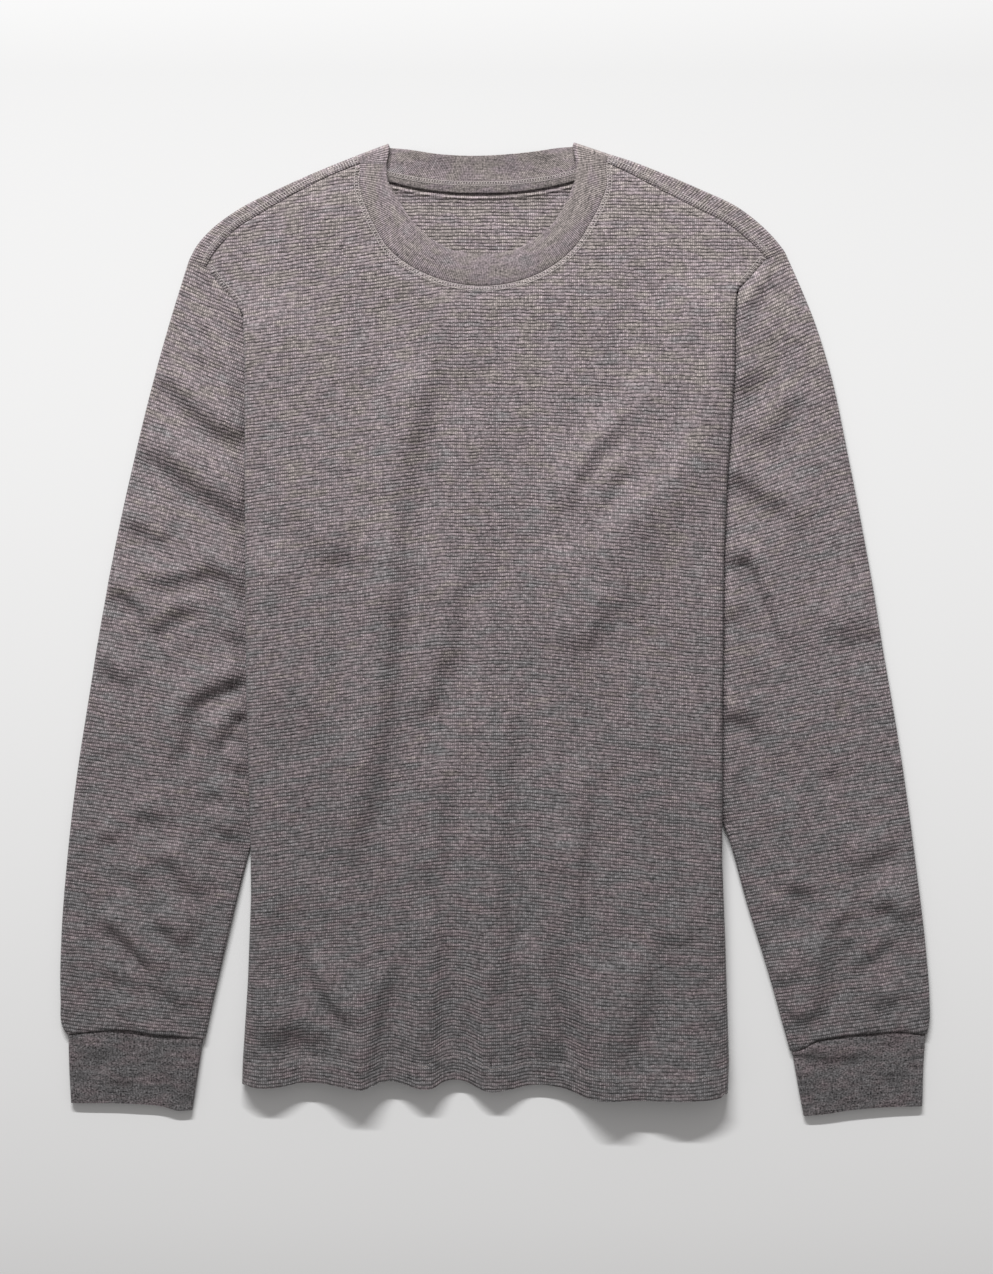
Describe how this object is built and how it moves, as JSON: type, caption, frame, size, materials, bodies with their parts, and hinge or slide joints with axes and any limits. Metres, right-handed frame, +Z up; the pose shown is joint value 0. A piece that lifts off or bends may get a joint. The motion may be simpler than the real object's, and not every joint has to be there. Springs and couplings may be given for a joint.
{
  "type": "thermal top",
  "caption": "Long-sleeved crew-neck thermal top in waffle knit, laid flat with its body sides folded under and its sleeves straight down beside it.",
  "frame": {"origin": "middle of the underside, on the surface that the top lies on", "axes": "+Y towards the collar, +X towards the wearer's left sleeve, which lies on the viewer's right, +Z up out of the garment's front"},
  "size_m": [0.6694, 0.7502, 0.0235],
  "materials": {
    "waffle": "heather waffle knit",
    "rib": "fine heather rib",
    "tape": "heather self cloth"
  },
  "bodies": {
    "root": {"front_panel": "waffle", "back_panel": "waffle", "sleeve_left": "waffle", "sleeve_right": "waffle", "cuff_left": "rib", "cuff_right": "rib", "neckband": "rib", "neck_tape": "tape"}
  },
  "joints": []
}
